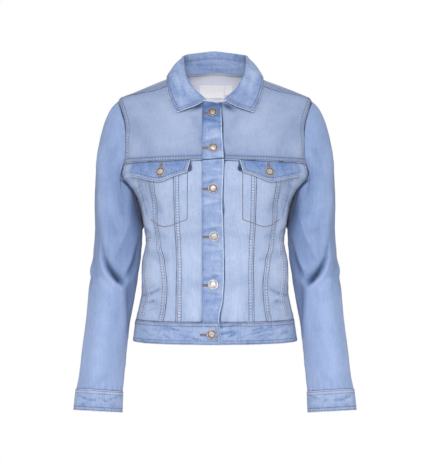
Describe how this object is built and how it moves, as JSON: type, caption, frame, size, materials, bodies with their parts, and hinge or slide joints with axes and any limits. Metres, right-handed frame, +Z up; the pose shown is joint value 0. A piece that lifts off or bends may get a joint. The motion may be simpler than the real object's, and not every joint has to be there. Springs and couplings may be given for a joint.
{
  "type": "denim jacket",
  "caption": "Buttoned denim jacket with a turned-down collar, pointed pocket flaps, side welts, long sleeves with cuffs and a waistband, hollow and filled out as worn.",
  "frame": {"origin": "middle of the neck at the height where the shoulder line meets the neck", "axes": "+Z up, the front faces -Y, +X is the wearer's left side"},
  "size_m": [0.5274, 0.2262, 0.6916],
  "materials": {
    "denim": "light blue stonewashed cotton twill, matt",
    "denim_bands": "two layers of the same denim, a little darker, worn pale at the edges",
    "button_metal": "satin nickel with a dull warm tint",
    "label_tape": "plain white woven tape"
  },
  "bodies": {
    "root": {"front_yoke_right": "denim", "front_yoke_left": "denim", "front_centre_right": "denim", "front_centre_left": "denim", "front_middle_right": "denim", "front_middle_left": "denim", "front_side_right": "denim", "front_side_left": "denim", "back_yoke": "denim", "back_centre": "denim", "back_side_right": "denim", "back_side_left": "denim", "waistband_right": "denim_bands", "waistband_left": "denim_bands", "waistband_back": "denim_bands", "placket": "denim_bands", "collar_stand": "denim_bands", "collar_fall": "denim_bands", "pocket_flap_right": "denim_bands", "pocket_flap_left": "denim_bands", "side_welt_right": "denim_bands", "side_welt_left": "denim_bands", "sleeve_upper_right": "denim", "sleeve_upper_left": "denim", "sleeve_under_right": "denim", "sleeve_under_left": "denim", "cuff_right": "denim_bands", "cuff_left": "denim_bands", "front_button_1": "button_metal", "front_button_2": "button_metal", "front_button_3": "button_metal", "front_button_4": "button_metal", "front_button_5": "button_metal", "front_button_6": "button_metal", "pocket_button_right": "button_metal", "pocket_button_left": "button_metal", "neck_label": "label_tape", "size_label": "label_tape"}
  },
  "joints": []
}
